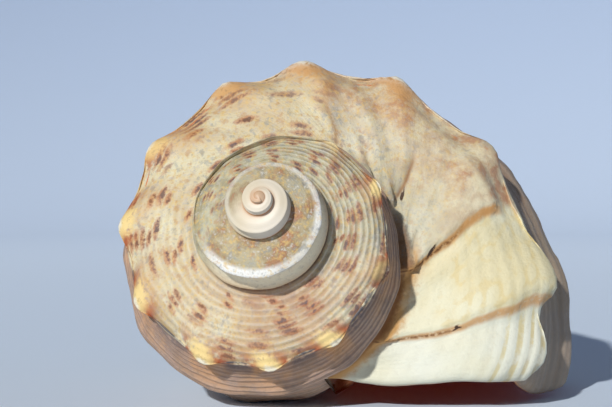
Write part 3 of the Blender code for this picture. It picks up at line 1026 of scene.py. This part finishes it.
# %% [markdown]
# The finish of the outside puts the layers together from the ground up. What is too fine
# for the mesh, the finest growth lines and the grain of the lime, is a bump; a finer mesh
# would only make the file large.

# %% The worn outside
LIP_ORANGE, PAINTED_SHADOW_BROWN = (238, 178, 128), (70, 22, 10)
SPECKLE = (140, 112, 84)
ROUGH, SMOOTH = 0.62, 0.42


def set_relief(tree, finish, height, depth, strength):
    relief = node(tree, "ShaderNodeBump",
                  {"Distance": depth, "Strength": strength, "Height": height})
    feed(tree, finish.inputs["Normal"], relief)


def worn_shell():
    material, tree, finish = new_material("worn_whelk_shell")
    back, place, girth = coil_coordinates(tree)
    spot = object_place(tree)
    cloud = noise(tree, spot, 110.0, 2.0, 0.5)
    mottle = noise(tree, spot, 330.0, 4.0, 0.6)
    fine = grain(tree, 0.8)
    colour = mix(rise(back, 0.98, 1.10), last_whorl(back, place, girth, cloud, mottle),
                 spire(back, place, cloud, mottle))
    colour = crust(tree, colour, back, place)
    colour = cords_and_wall(colour, back, place, girth, mottle)
    colour = dashes(tree, colour, back, place, girth, fine)
    colour = knob_colours(colour, back, place, attribute(tree, "knob"), mottle, fine)
    colour = soil(colour, back, place, mottle, fine)
    turned_in = rise(attribute(tree, "sunk"), 0.010, 0.045)
    colour = mix(turned_in, colour, LIP_ORANGE)
    # Painted shadow: the turned-in rings of the lip are darkened near the suture, where the lip
    # lies in shade.
    colour = mix(turned_in * bump(place, 1.6), colour, PAINTED_SHADOW_BROWN)
    speckle = rise(fine, 0.46, 0.34) * rise(back, 2.6, 1.4) * rise(back, 0.05, 0.3, 0.2, 1.0)
    feed(tree, finish.inputs["Base Color"], mix(speckle * 0.30, colour, SPECKLE))
    feed(tree, finish.inputs["Roughness"], rise(back, 3.0, 2.2, SMOOTH, ROUGH))
    growth_lines = coil_noise(back * 190.0, place * 1.3, 3.0, roughness=0.6)
    wave = cord_wave(cord_phase(back, girth)) * cord_strength(back, place)
    chalky = fine * 0.9 + growth_lines * 0.7 + wave * 0.4 + mottle * 0.8
    set_relief(tree, finish, chalky * rise(back, 2.8, 2.0, 0.15, 1.0), 0.25 * MM, 0.6)
    print("worn outside:", len(tree.nodes), "nodes")
    return material


# %% [markdown]
# Inside the mouth the animal glazed the shell: smooth, orange, pale along the lip. Light
# shines through the thin wall there. Real scattering takes long to render, so a faint red
# glow stands for it.

# %% The glazed mouth
ORANGE = (208, 84, 30), (228, 122, 62)
RIB_ORANGE, PALE_LIP = (238, 168, 112), (240, 190, 144)
GLOW, GLOW_STRENGTH = (1.0, 0.06, 0.0, 1.0), 0.015
RIB_PITCH = 2 * CORD_PITCH


def glazed_mouth():
    material, tree, finish = new_material("orange_mouth")
    cloud = noise(tree, object_place(tree), 70.0, 2.0, 0.5)
    fine = grain(tree, 1.6)
    place, girth = coil_coordinates(tree)[1:]
    ribs = (girth * (FULL_TURN / RIB_PITCH)).of("COSINE") * 0.5 + 0.5
    colour = mix(ribs * 0.25, mix(rise(cloud, 0.3, 0.7), *ORANGE), RIB_ORANGE)
    colour = mix(rise(attribute(tree, "whorls_back"), 0.05, 0.0) * 0.6, colour, PALE_LIP)
    inner_lip = 1.0 - attribute(tree, "knobbed")
    # Painted shadow: the mouth darkens at its corners by the suture, where it lies in shade.
    corner = bump(place, 1.6) + bump(place - SUTURE, 0.8) * inner_lip
    feed(tree, finish.inputs["Base Color"], mix(corner, colour, PAINTED_SHADOW_BROWN))
    feed(tree, finish.inputs["Roughness"], rise(fine, 0.3, 0.7, 0.22, 0.36))
    finish.inputs["Emission Color"].default_value = GLOW
    finish.inputs["Emission Strength"].default_value = GLOW_STRENGTH
    set_relief(tree, finish, fine * 0.4 + ribs * 0.5, 0.15 * MM, 0.3)
    print("glazed mouth:", len(tree.nodes), "nodes")
    return material


# %% [markdown]
# The modifier winds the strip. Its result is kept as a plain mesh, so that the piece
# needs nothing but itself wherever it is used. Its inputs go by the identifier of each
# socket, because two sockets may share a name.

# %% Wind the strip and keep the result as a plain mesh
wind = shell.modifiers.new("wind", "NODES")
wind.node_group = winding_tree(worn_shell(), glazed_mouth())
for item in wind.node_group.interface.items_tree:
    if item.in_out == "INPUT" and item.name in SIZES:
        wind[item.identifier] = SIZES[item.name]
bpy.context.view_layer.update()
evaluated = shell.evaluated_get(bpy.context.evaluated_depsgraph_get())
wound = bpy.data.meshes.new_from_object(evaluated)
shell.modifiers.clear()
shell.data = wound
wound.name = "rapa_whelk"
triangles = sum(len(p.vertices) - 2 for p in wound.polygons)
print("wound shell:", len(wound.vertices), "vertices,", triangles, "triangles")

# %% [markdown]
# The wound shell is laid where the solid lies: the start of its coil goes to the start
# of the solid's coil, and what would be below the ground is pressed flat, as the worn
# spots it rests on.

# %% Lay it where the solid lies
COIL_START = Vector((-8.02, -47.52, 34.79)) * MM
CAP_CENTRE = Vector((-8.02, -46.58, 34.43)) * MM

points = np.empty(3 * len(wound.vertices), np.float32)
wound.vertices.foreach_get("co", points)
points = points.reshape(-1, 3).astype(float) + np.array(COIL_START)
points[:, 2] = np.maximum(points[:, 2], 0.0)
wound.vertices.foreach_set("co", points.astype(np.float32).ravel())
wound.update()
wound.shade_smooth()
low, high = points.min(axis=0), points.max(axis=0)
print("dressed shell's box, mm:", (low * 1000).round(1), (high * 1000).round(1))
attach(shell, "root")
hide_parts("shell")

# %% [markdown]
# The floor is a shallow bowl with a wide flat bottom, so that no horizon shows from any
# side, in the pale blue-grey of the photograph.

# %% Floor
FLOOR_RADIUS, COVE_RADIUS, WALL_TOP = 0.55, 0.45, 0.9   # metres
COVE_STEPS, SPIN_STEPS = 12, 96
BELOW_SHELL = 0.0002             # the shell stands just clear of the floor
NEAR_GREY, FAR_SHADED_GREY = (230, 241, 255), (138, 154, 182)

floor_finish, tree, finish = new_material("pale_floor")
distance = node(tree, "ShaderNodeVectorMath", {0: object_place(tree)}, "Value",
                operation="LENGTH")
# Painted shade: the floor darkens from the middle outwards and up its wall, as if less light
# reached the back.
feed(tree, finish.inputs["Base Color"], mix(rise(distance, 0.30, 1.25), NEAR_GREY, FAR_SHADED_GREY))
finish.inputs["Roughness"].default_value = 0.9

profile = [(0.0, 0.0), (FLOOR_RADIUS, 0.0)]
for step in range(1, COVE_STEPS + 1):
    turn = math.radians(90 * step / COVE_STEPS)
    profile.append((FLOOR_RADIUS + COVE_RADIUS * math.sin(turn),
                    COVE_RADIUS * (1 - math.cos(turn))))
profile.append((FLOOR_RADIUS + COVE_RADIUS, WALL_TOP))
mesh = bpy.data.meshes.new("floor")
mesh.from_pydata([(x, 0.0, z - BELOW_SHELL) for x, z in profile],
                 [(i, i + 1) for i in range(len(profile) - 1)], [])
floor = bpy.data.objects.new("floor", mesh)
bpy.context.scene.collection.objects.link(floor)
spin = floor.modifiers.new("spin", "SCREW")
spin.steps = spin.render_steps = SPIN_STEPS
spin.use_merge_vertices = True
spin.merge_threshold = 0.00001
mesh.materials.append(floor_finish)
floor.visible_shadow = False
print("floor reaches, mm:", round(1000 * (FLOOR_RADIUS + COVE_RADIUS)))

# %% [markdown]
# The camera looks at the spire from about twenty centimetres away and nearly as low as
# the table, from ten degrees to the side. It could be moved by hand until it fits; here
# it is placed so that the first whorl falls on its pixel in the photograph.

# %% Camera
IMAGE = (612.0, 407.0)           # the photograph's frame, in pixels
FOCAL_PIXELS = 1430.0
SENSOR_MM = 36.0
APEX_PIXEL = (258.5, 196.0)
APEX_DISTANCE = 0.2095
AZIMUTH, ELEVATION = math.radians(9.6), math.radians(1.6)


def direction(azimuth, elevation):
    """From the shell towards an azimuth, 0 in front of it, and an elevation."""
    return Vector((math.sin(azimuth) * math.cos(elevation),
                   -math.cos(azimuth) * math.cos(elevation), math.sin(elevation)))


right = Vector((math.cos(AZIMUTH), math.sin(AZIMUTH), 0.0))
back = direction(AZIMUTH, ELEVATION)
up = back.cross(right)
metres = APEX_DISTANCE / FOCAL_PIXELS
across = (APEX_PIXEL[0] - IMAGE[0] / 2) * metres
above = (IMAGE[1] / 2 - APEX_PIXEL[1]) * metres
lens = bpy.data.cameras.new("camera")
lens.sensor_width = SENSOR_MM
lens.lens = FOCAL_PIXELS / IMAGE[0] * SENSOR_MM
lens.clip_start = 0.01
camera = bpy.data.objects.new("camera", lens)
place = CAP_CENTRE - right * across - up * above + back * APEX_DISTANCE
turn = Matrix((right, up, back)).transposed().to_4x4()
camera.matrix_world = Matrix.Translation(place) @ turn
bpy.context.scene.collection.objects.link(camera)
bpy.context.scene.camera = camera
print("camera's lens, mm:", round(lens.lens, 1))

# %% [markdown]
# The key light stands for the sun, from above on the left, softened a little. An image
# of a sky could light the shell too; a plain pale blue fills the shadows well enough.

# %% Light
SUN_AZIMUTH, SUN_ELEVATION, SUN_SOFTNESS = map(math.radians, (-17.0, 29.0, 1.8))
SUN_STRENGTH, SUN_COLOUR = 3.05, (0.95, 0.97, 0.96)
SKY, SKY_STRENGTH = (0.70, 0.76, 0.86, 1.0), 0.10

sun = bpy.data.lights.new("key", "SUN")
sun.energy, sun.angle, sun.color = SUN_STRENGTH, SUN_SOFTNESS, SUN_COLOUR
lamp = bpy.data.objects.new("key", sun)
towards = direction(SUN_AZIMUTH, SUN_ELEVATION)
lamp.rotation_euler = towards.to_track_quat("Z", "Y").to_euler()
bpy.context.scene.collection.objects.link(lamp)
world = bpy.data.worlds.new("studio")
world.use_nodes = True
sky = world.node_tree.nodes["Background"].inputs
sky["Color"].default_value, sky["Strength"].default_value = SKY, SKY_STRENGTH
bpy.context.scene.world = world
bpy.context.scene.view_settings.view_transform = "Standard"
print("sun to sky:", round(SUN_STRENGTH / SKY_STRENGTH, 1))
